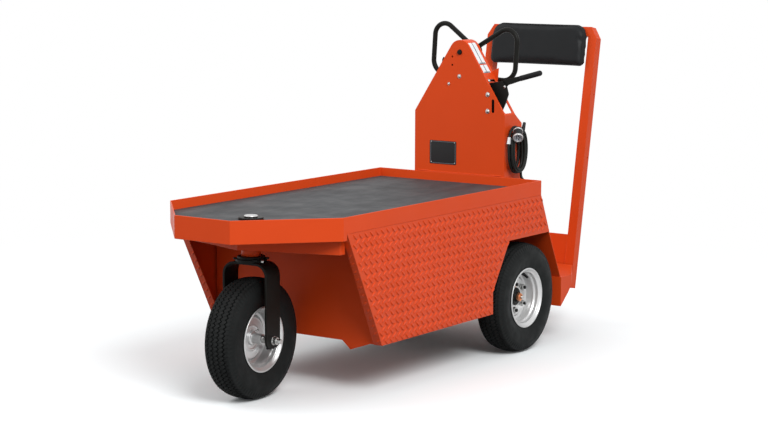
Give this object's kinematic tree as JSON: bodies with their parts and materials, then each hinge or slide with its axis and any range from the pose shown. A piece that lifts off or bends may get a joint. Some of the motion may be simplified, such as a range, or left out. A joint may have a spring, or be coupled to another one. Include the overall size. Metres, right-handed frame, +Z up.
{
  "type": "three-wheeled stand-up stock chaser",
  "caption": "Three-wheeled electric stock chaser: flat load deck with a raised lip, steered front fork, control tower with looped handlebar, stand-up platform and padded backrest frame.",
  "frame": {"origin": "on the floor, under the middle of the whole vehicle", "axes": "+Z up, -Y towards the front wheel, +X to the vehicle's left"},
  "size_m": [0.734, 2.1853, 1.2129],
  "materials": {
    "orange_paint": "semi_gloss",
    "diamond_plate": "semi_gloss",
    "black_paint": "satin",
    "deck_rubber": "matt",
    "tyre_rubber": "matt",
    "rim_steel": "satin",
    "zinc_steel": "gloss",
    "black_vinyl": "satin",
    "cord_rubber": "satin",
    "black_plastic": "matt",
    "grip_rubber": "matt",
    "battery_case": "matt"
  },
  "bodies": {
    "chassis": {"deck_tray": "orange_paint", "front_bulkhead": "orange_paint", "underpan": "orange_paint", "frame_rail_left": "orange_paint", "frame_rail_right": "orange_paint", "head_beam": "orange_paint", "rear_bulkhead": "orange_paint", "platform": "orange_paint", "kick_panel": "orange_paint", "post_left": "orange_paint", "post_right": "orange_paint", "top_rail": "orange_paint", "tower_shell": "orange_paint", "side_panel_left": "diamond_plate", "side_panel_right": "diamond_plate", "deck_mat": "deck_rubber", "deck_ring": "black_paint", "battery_pack": "battery_case", "axle_housing": "black_paint", "drive_motor": "black_paint", "pad_board": "black_paint", "back_pad": "black_vinyl", "steer_bush": "black_paint", "brake_bracket": "black_paint", "cord_hook": "black_paint", "cord_gland": "black_plastic", "cord_tube": "cord_rubber", "cord_coil": "cord_rubber", "cord_plug": "black_plastic"},
    "fork": {"fork_strap": "black_paint", "fork_stem": "black_paint", "front_axle": "zinc_steel"},
    "front_wheel": {"front_rim": "rim_steel", "front_tyre": "tyre_rubber"},
    "rear_wheel_left": {"rear_rim_left": "rim_steel", "rear_hub_left": "black_paint", "rear_tyre_left": "tyre_rubber"},
    "rear_wheel_right": {"rear_rim_right": "rim_steel", "rear_hub_right": "black_paint", "rear_tyre_right": "tyre_rubber"},
    "steering_bar": {"steer_shaft": "black_paint", "handlebar": "black_paint"},
    "brake": {"brake_lever": "black_paint", "brake_grip": "grip_rubber"}
  },
  "joints": [
    {"name": "fork_steer", "type": "hinge", "parent": "chassis", "child": "fork", "pos_m": [0, -0.83866, 0.5], "axis": [0, 0, 1], "range_deg": [-60, 60]},
    {"name": "front_wheel_roll", "type": "hinge", "parent": "fork", "child": "front_wheel", "pos_m": [0, -0.83866, 0.205], "axis": [0.9992, 0.0401, 0], "continuous": true},
    {"name": "rear_left_roll", "type": "hinge", "parent": "chassis", "child": "rear_wheel_left", "pos_m": [0.309, 0.35434, 0.205], "axis": [1, 0, 0], "continuous": true},
    {"name": "rear_right_roll", "type": "hinge", "parent": "chassis", "child": "rear_wheel_right", "pos_m": [-0.309, 0.35434, 0.205], "axis": [1, 0, 0], "continuous": true},
    {"name": "handlebar_turn", "type": "hinge", "parent": "chassis", "child": "steering_bar", "pos_m": [0, 0.54634, 1.103], "axis": [0, 1, 0], "range_deg": [-90, 90]},
    {"name": "brake_pull", "type": "hinge", "parent": "chassis", "child": "brake", "pos_m": [0.17, 0.48434, 0.975], "axis": [0, -1, 0], "range_deg": [0, 45]}
  ],
  "couplings": [
    {"joint": "handlebar_turn", "follows": "fork_steer", "ratio": 1.5}
  ]
}
